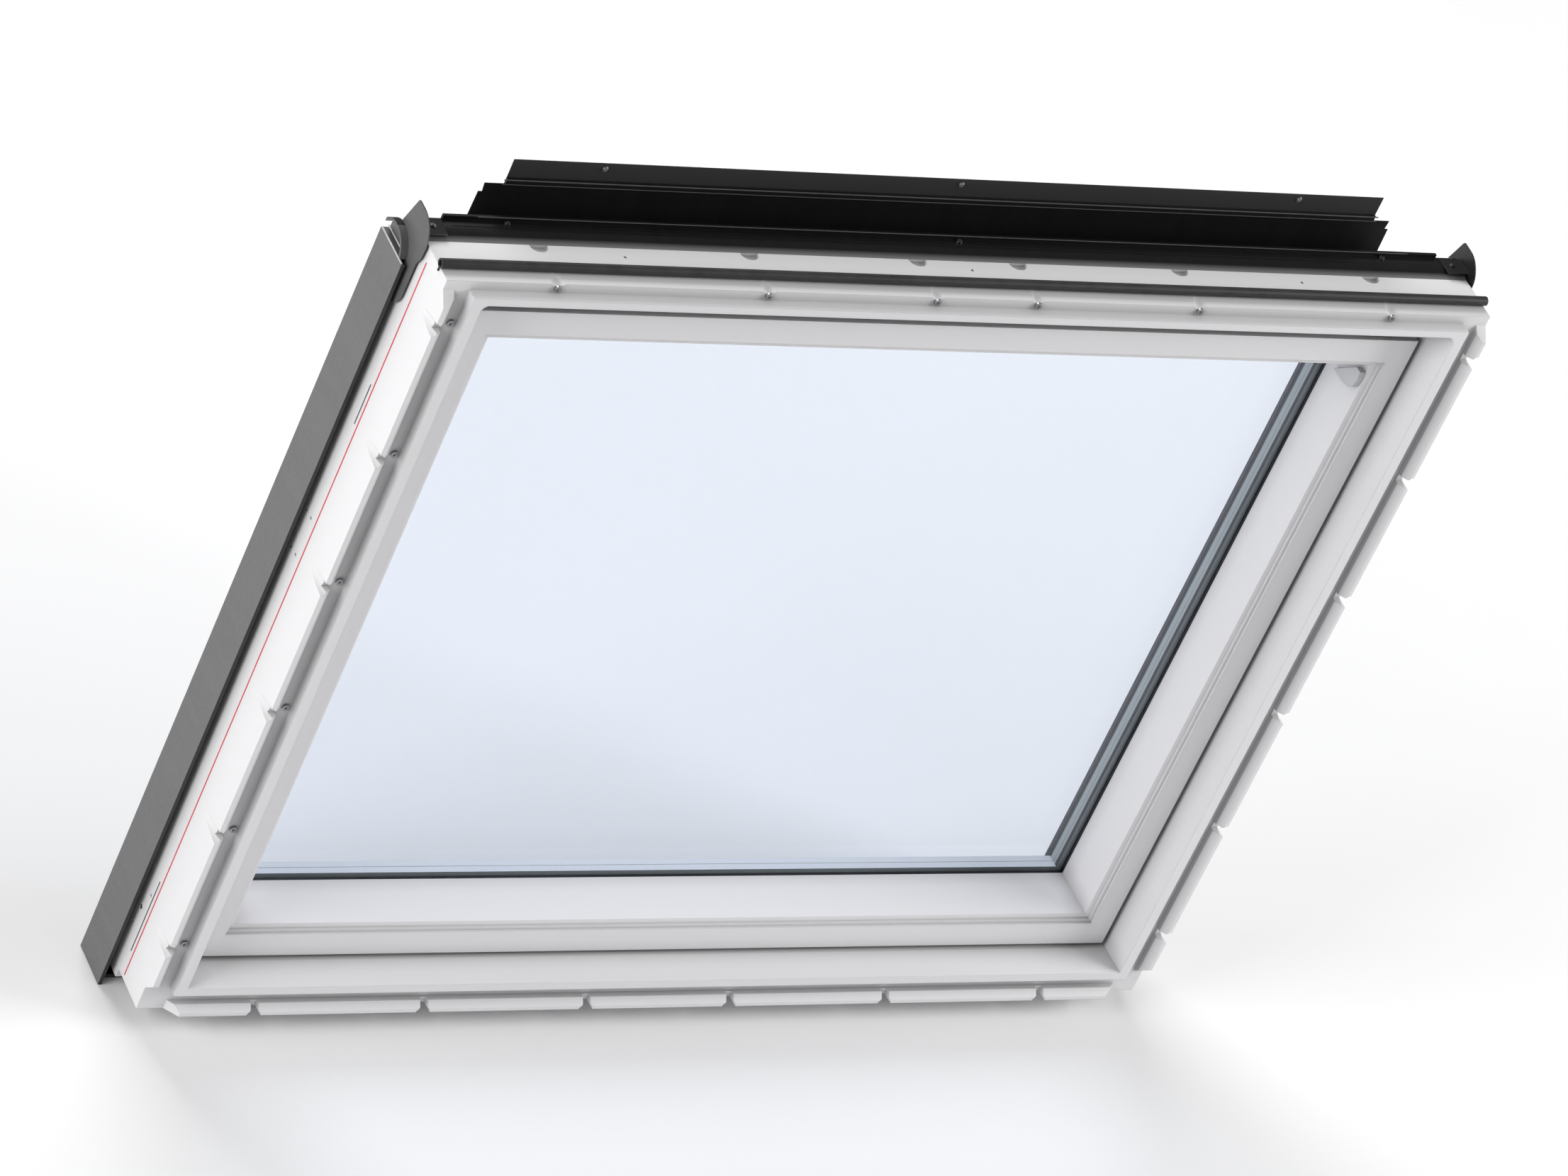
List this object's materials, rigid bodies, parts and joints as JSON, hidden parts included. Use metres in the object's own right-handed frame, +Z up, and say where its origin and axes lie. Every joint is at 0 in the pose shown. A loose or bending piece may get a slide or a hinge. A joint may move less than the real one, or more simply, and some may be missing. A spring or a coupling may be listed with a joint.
{
  "type": "fixed roof skylight element",
  "caption": "Fixed roof skylight element with white moulded frame, sealed double glazing and dark sheet covers.",
  "frame": {"origin": "under the middle of the whole element, at the lowest edge of the side covers, half-way between the room face and the sky face", "axes": "+X to the right seen from the room, +Y outward from the room to the sky, +Z up the slope"},
  "size_m": [1.164, 0.1258, 0.9975],
  "materials": {
    "white_moulding": "satin moulded skin",
    "clear_glass": "clear",
    "spacer_plastic": "matt",
    "sealant": "matt",
    "black_rubber": "matt",
    "block_plastic": "matt",
    "grey_sheet": "satin coated sheet",
    "black_sheet": "semi-gloss coated sheet",
    "clip_plastic": "matt",
    "screw_steel": "zinc plated",
    "dark_steel": "blackened",
    "bracket_plastic": "satin",
    "grey_rubber": "matt"
  },
  "bodies": {
    "root": {"frame": "white_moulding", "sash": "white_moulding", "inner_pane": "clear_glass", "outer_pane": "clear_glass", "spacer_bar": "spacer_plastic", "edge_sealant": "sealant", "inner_glazing_gasket": "black_rubber", "outer_glazing_gasket": "black_rubber", "sash_gasket": "black_rubber", "setting_blocks": "block_plastic", "left_side_cover": "grey_sheet", "right_side_cover": "grey_sheet", "bottom_cover": "grey_sheet", "top_cover": "grey_sheet", "top_gutter": "black_sheet", "head_flashing": "black_sheet", "left_end_plate": "black_sheet", "right_end_plate": "black_sheet", "cover_clips": "clip_plastic", "clip_screws": "screw_steel", "flashing_rivets": "dark_steel", "gutter_screws": "dark_steel", "end_plate_rivets": "dark_steel", "left_frame_screws": "screw_steel", "right_frame_screws": "screw_steel", "head_frame_screws": "screw_steel", "sash_screws": "screw_steel", "right_blind_bracket": "bracket_plastic", "joint_gasket": "grey_rubber"}
  },
  "joints": []
}
